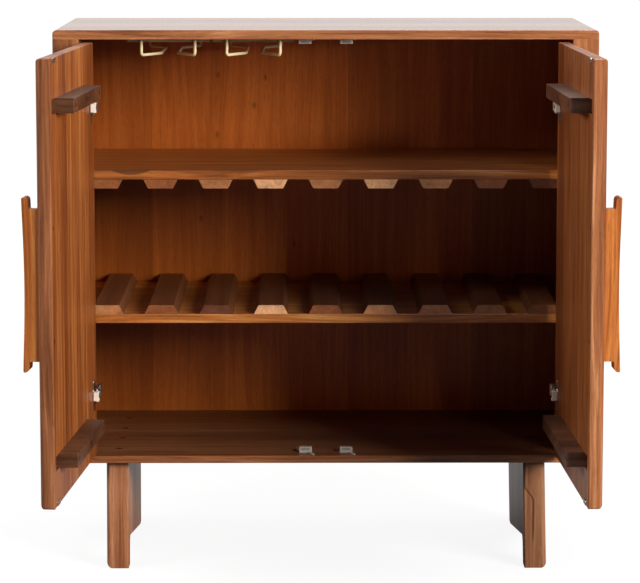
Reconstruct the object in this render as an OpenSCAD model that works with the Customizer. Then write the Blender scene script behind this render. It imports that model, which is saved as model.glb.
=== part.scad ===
// Two-door buffet cabinet in solid wood, on two plank legs, with bottle shelves and stemware racks.
// Origin on the floor below the middle of the case, +Z up, the front towards -Y.

/* [Case] */
// Outside width of the case
case_width = 1000; // [860:10:1300]
// Outside depth of the case
case_depth = 440; // [400:10:520]
// Clear height between the bottom board and the top board
inner_height = 775; // [720:5:900]
// Thickness of the top board
top_thick = 17; // [15:1:24]
// Thickness of the bottom board
bottom_thick = 14; // [13:1:20]
// Thickness of each side panel
side_thick = 22; // [20:1:28]
// Rounding of the top board's long end edges
top_edge_r = 9; // [3:1:12]
// Rounding of the upright outer corners
corner_r = 5; // [2:1:8]
// Easing of the other edges that show
ease_r = 1.2; // [0.5:0.1:2]

/* [Hinge posts] */
// Width of the post behind each front edge
post_width = 26; // [20:1:36]
// Depth of the post from the front
post_depth = 64; // [60:1:90]

/* [Back panel] */
// Thickness of the back panel
back_thick = 9; // [6:1:12]
// Width by which the back panel laps over the case boards
back_lap = 7; // [5:1:9]

/* [Shelves] */
// Thickness of the shelves
shelf_thick = 17; // [14:0.5:22]
// Clear height below the lower shelf
lower_bay = 246; // [200:1:280]
// Clear height between the two shelves
middle_bay = 251.5; // [230:0.5:290]
// Air between the closed doors and the shelf fronts
shelf_air = 1; // [0.5:0.5:5]

/* [Bottle ribs] */
// Number of ribs on each shelf
rib_count = 9; // [5:1:12]
// Distance from rib to rib
rib_pitch = 101.8; // [90:0.1:104]
// Width of a rib where it meets its shelf
rib_base = 63; // [50:1:70]
// Width of a rib at its free face
rib_crest = 46; // [36:1:48]
// Height of a rib
rib_height = 16.5; // [10:0.5:24]

/* [Legs] */
// Height of the legs, from the floor to the bottom board
leg_height = 206; // [150:2:260]
// Thickness of each plank leg
leg_thick = 41; // [34:1:50]
// Depth of each plank leg, front to back
leg_depth = 380; // [320:5:390]
// Distance from the case's side to the leg's outer face
leg_inset = 90; // [40:2:140]
// Distance from the case's front to the leg's front
leg_setback = 20; // [5:1:40]
// Outward drift of the left leg's foot
left_leg_drift = 1; // [0:0.5:6]
// Outward drift of the right leg's foot
right_leg_drift = 5; // [0:0.5:8]
// Depth of the front foot
foot_depth = 37; // [25:1:60]
// Height of the arch just behind the front foot
arch_height = 52; // [30:1:90]
// Length of the flat rear foot
heel_depth = 30; // [20:1:90]
// Rounding at the top of the arch
arch_r = 13; // [6:1:16]
// Rounding of the outer bottom corner of the foot
foot_r = 12; // [4:1:16]
// Rounding of the leg's outer front edge
leg_edge_r = 8; // [3:1:12]

/* [Doors] */
// Thickness of the doors
door_thick = 25; // [22:1:28]
// Gap between a door and its hinge post
hinge_gap = 2.5; // [2:0.5:4]
// Gap between the two closed doors
meeting_gap = 3; // [2:0.5:5]
// Gap below the doors
door_gap_below = 4; // [3:0.5:6]
// Gap above the doors
door_gap_above = 5.5; // [4:0.5:8]
// Rounding of the door's outer edges
door_edge_r = 8.5; // [3:0.5:10]
// Width of the board on the hinge side
first_board = 134; // [110:1:150]
// Width of the second board
second_board = 74; // [50:1:100]
// Width of the third board
third_board = 89; // [60:1:110]
// Chamfer along each board's joint, on both faces
board_chamfer = 0.6; // [0.3:0.1:1]
// Distance of the turning axis inside the post's inner face
axis_in = 2.8; // [2:0.1:4]
// Distance of the turning axis behind the front plane
axis_back = 1.1; // [0:0.1:3]
// Opening of the left door as photographed, in degrees
left_open = 94.7; // [0:0.1:110]
// Opening of the right door as photographed, in degrees
right_open = 92.1; // [0:0.1:110]

/* [Door battens] */
// Height of a batten
batten_height = 25.5; // [20:0.5:34]
// Projection of a batten from the door's inner face
batten_out = 32; // [20:1:40]
// Distance from the hinge edge to the left door's battens
left_batten_start = 111; // [70:1:130]
// Distance from the hinge edge to the right door's battens
right_batten_start = 78; // [70:1:130]
// Distance from the hinge edge to the battens' free end
batten_end = 399; // [360:1:410]
// Distance from the hinge edge to the end of the sliding groove
groove_end = 432; // [415:1:438]
// Depth of the sliding dovetail groove
groove_depth = 9; // [6:0.5:12]
// Flare of the dovetail on each side
groove_flare = 2; // [1:0.5:3]
// Height of the upper batten's middle below the door's top
upper_batten_drop = 82.5; // [60:0.5:100]
// Height of the lower batten's middle above the door's bottom
lower_batten_rise = 75.5; // [60:0.5:100]

/* [Handles] */
// Height of the grip plate
grip_height = 297; // [220:1:360]
// Thickness of the grip plate
grip_thick = 11; // [8:0.5:14]
// Width of the grip plate
grip_width = 36; // [28:1:44]
// Height of the bar that carries the grip plate
bar_height = 260; // [190:1:320]
// Width of the bar
bar_width = 16; // [12:1:20]
// Distance between the door and the grip plate
grip_air = 17; // [14:0.5:24]
// Hollow of the grip plate's outer face
grip_hollow = 4; // [1:0.5:5]
// Rounding where the bar meets the grip plate
cove_r = 7; // [3:0.5:9]

/* [Hinges] */
// Height of a hinge's middle above the door's bottom or below its top
hinge_end_distance = 116.5; // [100:0.5:126]
// Diameter of the hinge cup
cup_d = 35; // [26:1:35]
// Depth of the hinge cup
cup_depth = 12; // [10:0.5:13]
// Wall of the hinge cup
cup_wall = 1.5; // [1:0.1:1.8]
// Distance from the door's hinge edge to the cup's centre
cup_centre = 22; // [21:0.5:24]
// Distance between the cup's two screws
cup_screw_pitch = 48; // [45:1:52]
// Thickness of the cup's flange
flange_thick = 1.4; // [1:0.1:2]
// Height of the cap over the free side of each cup
cap_height = 19; // [14:0.5:22]
// Projection of the cap from the door's inner face
cap_out = 11; // [8:0.5:12]
// Thickness of the mounting plate
plate_thick = 3; // [2:0.5:4]
// Distance between the mounting plate's two screws
plate_screw_pitch = 32; // [28:1:40]
// Height of the arm where it rides on the plate
arm_height = 14; // [12:1:16]
// Thickness of each cheek of the arm
cheek_thick = 2.5; // [1.5:0.5:3]
// Height of the arm's forked head
head_height = 20; // [18:0.5:22]
// Reach of the arm from the post's inner face
arm_reach = 34; // [32:0.5:36]

/* [Catches] */
// Distance of the catches from the middle of the case
catch_offset = 38; // [24:1:60]
// Width of a catch
catch_width = 24; // [18:1:30]
// Depth of a catch
catch_depth = 15; // [10:1:20]
// Height of a catch
catch_height = 10; // [8.5:0.5:12]
// Width of the catch's two mounting tabs
tab_width = 7.5; // [7:0.5:12]
// Length of the mounting tabs
tab_length = 22; // [14:1:24]
// Slant of the mounting tabs across the catch, in degrees
tab_slant = 18; // [0:1:25]
// Thickness of the mounting tabs
tab_thick = 1.5; // [1:0.1:2]
// Thickness of the strike plates
strike_thick = 1.5; // [1:0.1:2]
// Length of the strike plates
strike_length = 26; // [18:1:34]
// Height of the strike plates
strike_height = 8; // [6:0.5:9]

/* [Stemware racks] */
// Distance from the middle of the case to the first rack's middle
rack_offset = 133; // [90:1:150]
// Distance from rack to rack
rack_pitch = 157; // [154:1:180]
// Distance between the upright wires of a rack
rack_width = 98.5; // [80:0.5:110]
// Clear gap between the rails, for the stem
stem_gap = 25; // [16:0.5:32]
// Diameter of the wire
wire_d = 5.5; // [4:0.5:7]
// Distance from the top board down to the rails' middle
rack_drop = 31; // [24:1:45]
// Length of a rack, front wire to rear wire
rack_length = 285; // [200:5:320]
// Distance from the case's front to the front wire's middle
rack_setback = 36; // [31:1:60]
// Bend of the wire at the foot of each upright
drop_bend_r = 6; // [4:0.5:8]
// Bend of the wire where it turns into a rail
rail_bend_r = 14; // [6:0.5:18]
// Width of a mounting plate
rack_plate_width = 152; // [120:1:154]
// Depth of a mounting plate
rack_plate_depth = 20; // [14:1:30]
// Thickness of a mounting plate
rack_plate_thick = 7; // [3:0.5:10]

/* [Fasteners] */
// Diameter of the wooden dowels
dowel_d = 8; // [6:1:8]
// Length of the dowels that go into the top and bottom boards
case_dowel_length = 28; // [24:1:36]
// Depth of the dowel holes in the top and bottom boards
case_dowel_seat = 9; // [7:0.5:11]
// Length of the shelf dowels
shelf_dowel_length = 30; // [24:1:40]
// Depth of the shelf dowels' holes in the side panels
shelf_dowel_seat = 12; // [10:1:15]
// Length of the leg screws
leg_screw_length = 60; // [45:1:80]
// Diameter of the leg screws
leg_screw_d = 6; // [5:0.5:7]
// Length of the batten screws
batten_screw_length = 46; // [36:1:50]
// Diameter of the batten and handle screws
door_screw_d = 4; // [3:0.5:4.5]
// Length of the handle screws
handle_screw_length = 36; // [32:1:40]
// Length of the small screws
small_screw_length = 14; // [12:1:16]
// Diameter of the small screws
small_screw_d = 3; // [2.5:0.1:3.5]
// Length of the back panel's screws
back_screw_length = 24; // [20:1:30]

/* [Fits] */
// Clearance round dowels, screws and cups
fit_gap = 0.1; // [0.05:0.05:0.2]
// Clearance between moving pieces that meet
running_gap = 0.4; // [0.3:0.1:0.6]

/* [Hidden] */
$fn = 48;

LEFT = -1;
RIGHT = 1;
// Overshoot of a cutting shape past the face that it opens
past = 1;

front_y = -case_depth / 2;
back_y = case_depth / 2;
floor_z = leg_height + bottom_thick;
ceiling_z = floor_z + inner_height;
side_inner_x = case_width / 2 - side_thick;
opening_half = side_inner_x - post_width;
back_inner_y = back_y - back_thick;

shelf_front_y = front_y + door_thick + shelf_air;
lower_shelf_z = floor_z + lower_bay;
upper_shelf_z = lower_shelf_z + shelf_thick + middle_bay;

axis_x = opening_half - axis_in;
axis_y = front_y + axis_back;
door_width = opening_half - meeting_gap / 2 - hinge_gap;
door_x0 = hinge_gap - axis_in;
door_x1 = door_x0 + door_width;
door_y0 = -axis_back;
door_y1 = door_y0 + door_thick;
door_z0 = floor_z + door_gap_below;
door_z1 = ceiling_z - door_gap_above;
door_mid_z = (door_z0 + door_z1) / 2;
hinge_heights = [door_z0 + hinge_end_distance, door_z1 - hinge_end_distance];
batten_heights = [door_z0 + lower_batten_rise, door_z1 - upper_batten_drop];

leg_outer_x = case_width / 2 - leg_inset;
leg_mid_x = leg_outer_x - leg_thick / 2;
leg_front_y = front_y + leg_setback;

handle_x1 = door_x1 - door_edge_r;
handle_screw_x = handle_x1 - bar_width / 2;

cup_x = door_x0 + cup_centre;
flange_y = door_y1 + flange_thick;
cup_floor_y = door_y1 - cup_depth + cup_wall;
// Line of the two cup screws, on the free side of the cup's centre
cup_screw_x = cup_x + 8;
// Mounting plate: front end behind the front plane, depth of its wings, size of its rail
plate_front = door_thick + 7;
wing_depth = 14;
rail_height = arm_height - 3;
plate_rail = plate_thick + 3.5;
plate_screw_length = small_screw_length + plate_thick;
// Arm: ends behind the front plane, height of its channel, start and tip of its forked head
arm_front = plate_front + 2;
arm_back = post_depth - 4;
channel_x = 12;
head_x = arm_reach - 7;
head_tip = axis_back + cup_floor_y + 0.5;
// Cap on the cup's free side: its start just past the arm's head, and its length
cap_x0 = arm_reach - axis_in + 2;
cap_length = 10.5;
// Curved links, one over the other: the door's strap, then the free link below the arm's pin
link_height = 12;
link_end = 93;
strap_r = 24.6;
strap_thick = 2.6;
link_r = strap_r + strap_thick + running_gap;
link_thick = 2.6;
pin_d = 4;
pin_x = (head_x + arm_reach) / 2;
pin_r = link_r + link_thick + running_gap + pin_d / 2;
pin_y = axis_back + sqrt(pin_r * pin_r - (pin_x - axis_in) * (pin_x - axis_in));
rivet_out = 0.8;
// Share of the door's turn that the free links make
link_share = 0.5;

catch_front_y = front_y + door_thick + strike_thick + running_gap;
tab_x = (catch_width - tab_width) / 2;
// Length of a tab inside the housing, and rounding of its free end
tab_root = 4;
tab_r = tab_width / 2 - 0.2;
magnet_width = catch_width - 8;
magnet_depth = catch_depth - 4;
magnet_height = 4;
magnet_z = catch_height - magnet_height - 1.2;
strike_x = axis_x - catch_offset;
strike_heights = [door_z0 + strike_height / 2 + 1, door_z1 - strike_height / 2 - 1];

rail_x = (stem_gap + wire_d) / 2;
rack_front_y = front_y + rack_setback;
rack_z = ceiling_z - rack_drop;
rack_middles = [-rack_offset - rack_pitch, -rack_offset];
plate_inset = wire_d / 2 + fit_gap;

// Lines between the boards of a door; the outermost ones lie outside it
board_lines = [
  door_x0 - past, door_x0 + first_board, door_x0 + first_board + second_board,
  door_x0 + first_board + second_board + third_board, door_x1 + past
];

// Heads of the screws are twice as wide as their shanks
function head_d(shank_d) = shank_d * 2;
function head_h(shank_d) = shank_d * 0.55;

// Unit vector along v
function unit(v) = v / norm(v);

// Points of the arc that rounds one corner of an outline with radius r
function corner_arc(before, corner, after, r, steps = 8) =
  let (
    a = unit(before - corner),
    b = unit(after - corner),
    half = acos(a * b) / 2,
    centre = corner + unit(a + b) * (r / sin(half)),
    start = corner + a * (r / tan(half)) - centre,
    finish = corner + b * (r / tan(half)) - centre,
    from = atan2(start.y, start.x),
    sweep = atan2(finish.y, finish.x) - from,
    turn = sweep - 360 * round(sweep / 360)
  )
  [for (i = [0:steps]) centre + r * [cos(from + turn * i / steps), sin(from + turn * i / steps)]];

// Outline through corners [x, y, radius], each rounded by its own radius
function rounded_outline(corners) =
  let (n = len(corners), p = [for (c = corners) [c[0], c[1]]])
  [for (i = [0:n - 1]) each
    corners[i][2] == 0 ? [p[i]] : corner_arc(p[(i + n - 1) % n], p[i], p[(i + 1) % n], corners[i][2])];

// Piece of a square corner that lies outside a rounding of radius r
module corner_waste(r) {
  difference() {
    translate([-past, -past]) square(r + past);
    translate([r, r]) circle(r);
  }
}

// Rectangle with one radius for each corner: low left, low right, high right, high left
module rounded_rectangle(w, h, radii) {
  difference() {
    square([w, h]);
    if (radii[0] > 0) corner_waste(radii[0]);
    if (radii[1] > 0) translate([w, 0]) mirror([1, 0]) corner_waste(radii[1]);
    if (radii[2] > 0) translate([w, h]) rotate(180) corner_waste(radii[2]);
    if (radii[3] > 0) translate([0, h]) mirror([0, 1]) corner_waste(radii[3]);
  }
}

// Block whose edges along X, Y and Z are rounded by the four radii given for each direction
module eased_block(size, along_x, along_y, along_z) {
  intersection() {
    rotate([90, 0, 90]) linear_extrude(size.x) rounded_rectangle(size.y, size.z, along_x);
    translate([0, size.y, 0]) rotate([90, 0, 0])
      linear_extrude(size.y) rounded_rectangle(size.x, size.z, along_y);
    linear_extrude(size.z) rounded_rectangle(size.x, size.y, along_z);
  }
}

// Left pieces are drawn as they stand, right ones as their mirror image
module sided(side) {
  mirror([side > 0 ? 1 : 0, 0, 0]) children();
}

// Children drawn with X along the closed door from its axis and Y towards the inside of the case,
// then opened by a share of the door's turn
module on_door(side, share = 1) {
  opened = side < 0 ? left_open : right_open;
  sided(side) translate([-axis_x, axis_y, 0]) rotate([0, 0, -opened * share]) children();
}

// Countersunk screw that points down, its head's top at the origin
module countersunk_screw(length, d, gap = 0, above = 0) {
  shank_r = d / 2 + gap;
  head_r = head_d(d) / 2 + gap;
  rotate_extrude()
    polygon([
      [0, -length - gap], [shank_r, -length - gap], [shank_r, -head_h(d) - gap],
      [head_r, -gap], [head_r, above], [0, above]
    ]);
}

// Hole for the same screw, open above its head
module screw_hole(length, d) {
  countersunk_screw(length, d, fit_gap, past);
}

// Dowel that stands on the origin
module dowel(length, gap = 0) {
  translate([0, 0, -gap]) cylinder(h = length + 2 * gap, d = dowel_d + 2 * gap);
}

// Places of the dowels between a side panel and the boards above and below it
module at_case_dowels(side) {
  for (k = [-1.5:1:1.5])
    for (z = [floor_z - case_dowel_seat, ceiling_z + case_dowel_seat - case_dowel_length])
      translate([side * (case_width - side_thick) / 2, k * case_depth / 5, z]) children();
}

// Places of the dowels between a side panel and the shelves, pointing inwards
module at_shelf_dowels(side) {
  for (z = [lower_shelf_z, upper_shelf_z])
    for (y = [-0.25, 0.05, 0.35] * case_depth)
      translate([side * (side_inner_x + shelf_dowel_seat), y, z + shelf_thick / 2])
        rotate([0, -90 * side, 0]) children();
}

// Places of the back panel's screws, heads to the rear
module at_back_screws() {
  mid_z = floor_z + inner_height / 2;
  for (side = [LEFT, RIGHT])
    for (k = [-2:2])
      translate([side * (side_inner_x + back_lap / 2), back_y, mid_z + k * inner_height / 4.6])
        rotate([-90, 0, 0]) children();
  for (k = [-1.5:1:1.5])
    for (z = [floor_z - back_lap / 2, ceiling_z + back_lap / 2])
      translate([k * case_width / 4.6, back_y, z]) rotate([-90, 0, 0]) children();
}

// Places of the leg screws, heads up
module at_leg_screws() {
  for (side = [LEFT, RIGHT])
    for (k = [0.12, 0.38, 0.62, 0.88])
      translate([side * leg_mid_x, leg_front_y + k * leg_depth, floor_z]) children();
}

// Places of the rack screws, heads down
module at_rack_screws() {
  inset = plate_inset + rack_plate_depth / 2;
  for (middle_x = rack_middles)
    for (x = [-1, 1] * rack_plate_width / 4)
      for (y = [rack_front_y + inset, rack_front_y + rack_length - inset])
        translate([middle_x + x, y, ceiling_z - rack_plate_thick]) rotate([180, 0, 0]) children();
}

// Children drawn as on the bottom board, with the middle of the catch's front at the origin
module at_catch(side, top) {
  translate([side * catch_offset, catch_front_y, top ? ceiling_z : floor_z])
    mirror([0, 0, top ? 1 : 0]) children();
}

// Both tabs of a catch, each drawn with its root at the origin and its free end towards -Y
module at_catch_tabs() {
  for (turn = [0, 180])
    translate([0, catch_depth / 2, 0]) rotate(turn)
      translate([tab_x, -catch_depth / 2, 0]) rotate(tab_slant) children();
}

// Places of the two screws of one catch, heads away from the board
module at_catch_screws(side, top) {
  at_catch(side, top)
    at_catch_tabs() translate([0, -tab_length + tab_width / 2, tab_thick]) children();
}

// Children drawn with X from the post's inner face and Y from the front plane
module at_hinges(side) {
  for (z = hinge_heights)
    sided(side) translate([-opening_half, front_y, z]) children();
}

// Places of the mounting plates' screws, heads away from the post
module at_plate_screws(side) {
  at_hinges(side)
    for (z = [-1, 1] * plate_screw_pitch / 2)
      translate([plate_thick, plate_front + wing_depth / 2, z]) rotate([0, 90, 0]) children();
}

// Places of one door's cup screws, heads inside the case
module at_cup_screws(z) {
  for (dz = [-1, 1] * cup_screw_pitch / 2)
    translate([cup_screw_x, flange_y, z + dz]) rotate([-90, 0, 0]) children();
}

// Places of one door's strike plate screws
module at_strike_screws() {
  for (z = strike_heights)
    translate([strike_x, door_y1 + strike_thick, z]) rotate([-90, 0, 0]) children();
}

function batten_start(side) = side < 0 ? left_batten_start : right_batten_start;

// Places of one door's batten screws, heads on the battens' inner faces
module at_batten_screws(side) {
  start = batten_start(side);
  margin = 18;
  for (z = batten_heights)
    for (x = [start + margin, (start + batten_end) / 2, batten_end - margin])
      translate([door_x0 + x, door_y1 + batten_out, z]) rotate([-90, 0, 0]) children();
}

// Places of one handle's screws, heads on the door's inner face
module at_handle_screws() {
  for (k = [-1, 1])
    translate([handle_screw_x, door_y1, door_mid_z + k * bar_height * 0.37])
      rotate([-90, 0, 0]) children();
}

// Space of the back panel, cut out of the boards round it
module back_pocket() {
  w = 2 * (side_inner_x + back_lap);
  translate([-w / 2, back_inner_y, floor_z - back_lap])
    cube([w, back_thick + past, inner_height + 2 * back_lap]);
}

module top_board() {
  color("#b9784a")
    difference() {
      translate([-case_width / 2, front_y, ceiling_z])
        eased_block(
          [case_width, case_depth, top_thick],
          [0, 0, ease_r, ease_r],
          [0, 0, top_edge_r, top_edge_r],
          [corner_r, corner_r, corner_r, corner_r]
        );
      back_pocket();
      for (side = [LEFT, RIGHT]) at_case_dowels(side) dowel(case_dowel_length, fit_gap);
      at_back_screws() screw_hole(back_screw_length, small_screw_d);
      at_rack_screws() screw_hole(small_screw_length, small_screw_d);
      for (side = [LEFT, RIGHT]) at_catch_screws(side, true) screw_hole(small_screw_length, small_screw_d);
    }
}

module bottom_board() {
  color("#8a5738")
    difference() {
      translate([-case_width / 2, front_y, leg_height])
        eased_block(
          [case_width, case_depth, bottom_thick],
          [ease_r, ease_r, 0, 0],
          [corner_r, corner_r, 0, 0],
          [corner_r, corner_r, corner_r, corner_r]
        );
      back_pocket();
      for (side = [LEFT, RIGHT]) at_case_dowels(side) dowel(case_dowel_length, fit_gap);
      at_back_screws() screw_hole(back_screw_length, small_screw_d);
      at_leg_screws() screw_hole(leg_screw_length, leg_screw_d);
      for (side = [LEFT, RIGHT]) at_catch_screws(side, false) screw_hole(small_screw_length, small_screw_d);
    }
}

module side_panel(side) {
  color("#a9683f")
    difference() {
      sided(side)
        translate([-case_width / 2, front_y, floor_z])
          linear_extrude(inner_height)
            rounded_rectangle(side_thick, case_depth, [corner_r, 0, 0, corner_r]);
      back_pocket();
      at_case_dowels(side) dowel(case_dowel_length, fit_gap);
      at_shelf_dowels(side) dowel(shelf_dowel_length, fit_gap);
      at_back_screws() screw_hole(back_screw_length, small_screw_d);
    }
}

module hinge_post(side) {
  color("#a0613b")
    difference() {
      sided(side)
        translate([-side_inner_x, front_y, floor_z])
          linear_extrude(inner_height)
            rounded_rectangle(post_width, post_depth, [0, ease_r, ease_r, 0]);
      at_plate_screws(side) screw_hole(plate_screw_length, small_screw_d);
    }
}

module back_panel() {
  w = 2 * (side_inner_x + back_lap - fit_gap);
  h = inner_height + 2 * (back_lap - fit_gap);
  color("#a45a2c")
    difference() {
      translate([-w / 2, back_inner_y, floor_z - back_lap + fit_gap]) cube([w, back_thick, h]);
      at_back_screws() screw_hole(back_screw_length, small_screw_d);
    }
}

// Shelf whose front corners are notched round the hinge posts
module shelf(z) {
  notch_w = post_width + fit_gap;
  notch_d = front_y + post_depth + fit_gap - shelf_front_y;
  color("#8b5231")
    difference() {
      translate([-side_inner_x, shelf_front_y, z])
        rotate([90, 0, 90])
          linear_extrude(2 * side_inner_x)
            rounded_rectangle(back_inner_y - shelf_front_y, shelf_thick, [ease_r, 0, 0, ease_r]);
      for (side = [LEFT, RIGHT]) {
        sided(side)
          translate([-side_inner_x - past, shelf_front_y - past, z - past])
            cube([notch_w + past, notch_d + past, shelf_thick + 2 * past]);
        at_shelf_dowels(side) dowel(shelf_dowel_length, fit_gap);
      }
    }
}

// Row of trapezoid ribs along the shelf's depth, wide faces at z, standing up or hanging down
module ribs(z, up) {
  color("#7d4529")
    for (i = [0:rib_count - 1])
      translate([(i - (rib_count - 1) / 2) * rib_pitch, back_inner_y, z])
        mirror([0, 0, up ? 0 : 1])
          rotate([90, 0, 0])
            linear_extrude(back_inner_y - shelf_front_y)
              polygon(rounded_outline([
                [-rib_base / 2, 0, 0],
                [rib_base / 2, 0, 0],
                [rib_crest / 2, rib_height, ease_r],
                [-rib_crest / 2, rib_height, ease_r]
              ]));
}

module case_dowels() {
  color("#d8b98a")
    for (side = [LEFT, RIGHT]) at_case_dowels(side) dowel(case_dowel_length);
}

module shelf_dowels() {
  color("#d8b98a")
    for (side = [LEFT, RIGHT]) at_shelf_dowels(side) dowel(shelf_dowel_length);
}

module back_panel_screws() {
  color("#4a4440") at_back_screws() countersunk_screw(back_screw_length, small_screw_d);
}

// Side view of a leg: front foot, low arch that falls to the rear, rear foot
module leg_side_outline() {
  heel_r = 20;
  polygon(rounded_outline([
    [0, leg_height, 0],
    [0, 0, ease_r],
    [foot_depth, 0, ease_r],
    [foot_depth + 4, arch_height + 2, arch_r],
    [leg_depth - heel_depth, 0, heel_r],
    [leg_depth, 0, ease_r],
    [leg_depth, leg_height, 0]
  ]));
}

// Plank leg that leans outwards by its drift, cut level at the top and on the floor
module leg(side) {
  drift = side < 0 ? left_leg_drift : right_leg_drift;
  outer_x = -leg_outer_x - drift;
  overlength = 20;
  slab = leg_thick + drift + overlength;
  color("#b06c42")
    difference() {
      sided(side)
        intersection() {
          translate([outer_x - past, leg_front_y, 0]) rotate([90, 0, 90])
            linear_extrude(slab) leg_side_outline();
          translate([outer_x, leg_front_y + leg_depth, 0]) rotate([90, 0, 0])
            linear_extrude(leg_depth) rounded_rectangle(slab, leg_height, [foot_r, 0, 0, 0]);
          translate([-leg_outer_x, leg_front_y, leg_height])
            rotate([0, atan(drift / leg_height), 0])
              translate([0, 0, -leg_height - overlength])
                linear_extrude(leg_height + 2 * overlength)
                  rounded_rectangle(leg_thick, leg_depth, [leg_edge_r, 3, 3, leg_edge_r]);
        }
      at_leg_screws() screw_hole(leg_screw_length, leg_screw_d);
    }
}

module leg_screws() {
  color("#3a3532") at_leg_screws() countersunk_screw(leg_screw_length, leg_screw_d);
}

// Quarter bend of wire in the XY plane, from +X round to +Y
module wire_bend(r) {
  rotate_extrude(angle = 90) translate([r, 0]) circle(d = wire_d);
}

// Front half of the left wire: upright, foot bend, inward arm, rail bend and half of the rail
module half_wire() {
  foot_x = -rack_width / 2 + drop_bend_r;
  turn_x = -rail_x - rail_bend_r;
  translate([-rack_width / 2, 0, drop_bend_r]) cylinder(h = rack_drop - drop_bend_r, d = wire_d);
  translate([foot_x, 0, drop_bend_r]) rotate([-90, 0, 180]) wire_bend(drop_bend_r);
  translate([foot_x, 0, 0]) rotate([0, 90, 0]) cylinder(h = turn_x - foot_x, d = wire_d);
  translate([turn_x, rail_bend_r, 0]) rotate([0, 0, -90]) wire_bend(rail_bend_r);
  translate([-rail_x, rail_bend_r, 0]) rotate([-90, 0, 0])
    cylinder(h = rack_length / 2 - rail_bend_r, d = wire_d);
}

// Two wires whose rails leave the gap for the stems
module rack_wires(middle_x) {
  color("#e3d2a6")
    translate([middle_x, rack_front_y, rack_z])
      for (flip_x = [0, 1])
        mirror([flip_x, 0, 0])
          union() {
            half_wire();
            translate([0, rack_length, 0]) mirror([0, 1, 0]) half_wire();
          }
}

// Front and rear plate between the wires' uprights, against the top board
module rack_plates(middle_x) {
  color("#a88a62")
    difference() {
      for (y = [rack_front_y + plate_inset, rack_front_y + rack_length - plate_inset - rack_plate_depth])
        translate([middle_x - rack_plate_width / 2, y, ceiling_z - rack_plate_thick])
          linear_extrude(rack_plate_thick)
            rounded_rectangle(rack_plate_width, rack_plate_depth, [2, 2, 2, 2]);
      at_rack_screws() screw_hole(small_screw_length, small_screw_d);
    }
}

module rack_screws() {
  color("#cdbb8c") at_rack_screws() countersunk_screw(small_screw_length, small_screw_d);
}

// Catch housing with a pocket for its magnet and two mounting tabs, one to the front, one to the rear
module catch_housing(side, top) {
  pocket_w = magnet_width + 2 * fit_gap;
  color("#b9aea0")
    difference() {
      at_catch(side, top)
        difference() {
          union() {
            translate([-catch_width / 2, 0, 0])
              eased_block(
                [catch_width, catch_depth, catch_height],
                [0, 0, 1, 1],
                [0, 0, 1, 1],
                [1, 1, 1, 1]
              );
            at_catch_tabs()
              translate([-tab_width / 2, -tab_length, 0])
                linear_extrude(tab_thick)
                  rounded_rectangle(tab_width, tab_length + tab_root, [tab_r, tab_r, 0, 0]);
          }
          translate([-pocket_w / 2, -past, magnet_z - fit_gap])
            cube([pocket_w, magnet_depth + fit_gap + past, magnet_height + 2 * fit_gap]);
        }
      at_catch_screws(side, top) screw_hole(small_screw_length, small_screw_d);
    }
}

module catch_magnets() {
  color("#55514d")
    for (side = [LEFT, RIGHT])
      for (top = [false, true])
        at_catch(side, top)
          translate([-magnet_width / 2, 0, magnet_z]) cube([magnet_width, magnet_depth, magnet_height]);
}

module catch_screws() {
  color("#cfc8bd")
    for (side = [LEFT, RIGHT])
      for (top = [false, true])
        at_catch_screws(side, top) countersunk_screw(small_screw_length, small_screw_d);
}

// Mounting plates: two wings with a rail between them for the arm
module hinge_plates(side) {
  wing_height = plate_screw_pitch + wing_depth;
  color("#c9c4bb")
    difference() {
      at_hinges(side)
        union() {
          translate([0, plate_front, -wing_height / 2]) rotate([90, 0, 90])
            linear_extrude(plate_thick)
              rounded_rectangle(wing_depth, wing_height, [5, 5, 5, 5]);
          translate([0, plate_front, -rail_height / 2])
            cube([plate_rail, arm_back - plate_front, rail_height]);
        }
      at_plate_screws(side) screw_hole(plate_screw_length, small_screw_d);
    }
}

// Side of the arm's head, which reaches into the cup when the door is closed
module head_outline() {
  polygon(rounded_outline([
    [head_x, head_tip, 3.2],
    [arm_reach, head_tip, 3.2],
    [arm_reach, arm_front - 3, 0],
    [head_x, arm_front - 3, 0]
  ]));
}

// Cranked arms: a channel over the plate's rail, a web that steps inwards, and a head of two cheeks
// with a bridge between them, hollowed to the curve of the links, and a riveted pin
module hinge_arms(side) {
  color("#e6e1d8")
    at_hinges(side)
      union() {
        difference() {
          translate([plate_thick + fit_gap, arm_front, -arm_height / 2])
            eased_block(
              [channel_x - plate_thick - fit_gap, arm_back - arm_front, arm_height],
              [0, 0, 0, 0],
              [0, 1, 1, 0],
              [0, 0, 0, 0]
            );
          translate([0, arm_front - past, -rail_height / 2 - fit_gap])
            cube([plate_rail + fit_gap, arm_back - arm_front + 2 * past, rail_height + 2 * fit_gap]);
        }
        translate([0, 0, -arm_height / 2])
          linear_extrude(arm_height)
            polygon([
              [plate_rail + fit_gap, arm_front],
              [head_x + 1, arm_front - 4],
              [head_x + 1, arm_front],
              [channel_x, arm_front + 8],
              [plate_rail + fit_gap, arm_front + 8]
            ]);
        translate([head_x, arm_front - 4, -head_height / 2])
          linear_extrude(head_height) rounded_rectangle(arm_reach - head_x, 4, [0, 0, 1.5, 1.5]);
        for (z = [-head_height / 2, head_height / 2 - cheek_thick])
          translate([0, 0, z]) linear_extrude(cheek_thick) head_outline();
        translate([0, 0, past - head_height / 2])
          linear_extrude(head_height - 2 * past)
            difference() {
              head_outline();
              translate([axis_in, axis_back]) circle(link_r + link_thick + running_gap, $fn = 144);
            }
        translate([pin_x, pin_y, -head_height / 2 - rivet_out])
          cylinder(h = head_height + 2 * rivet_out, d = pin_d);
      }
}

module hinge_plate_screws() {
  color("#cfc8bd")
    for (side = [LEFT, RIGHT])
      at_plate_screws(side) countersunk_screw(plate_screw_length, small_screw_d);
}

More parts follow.
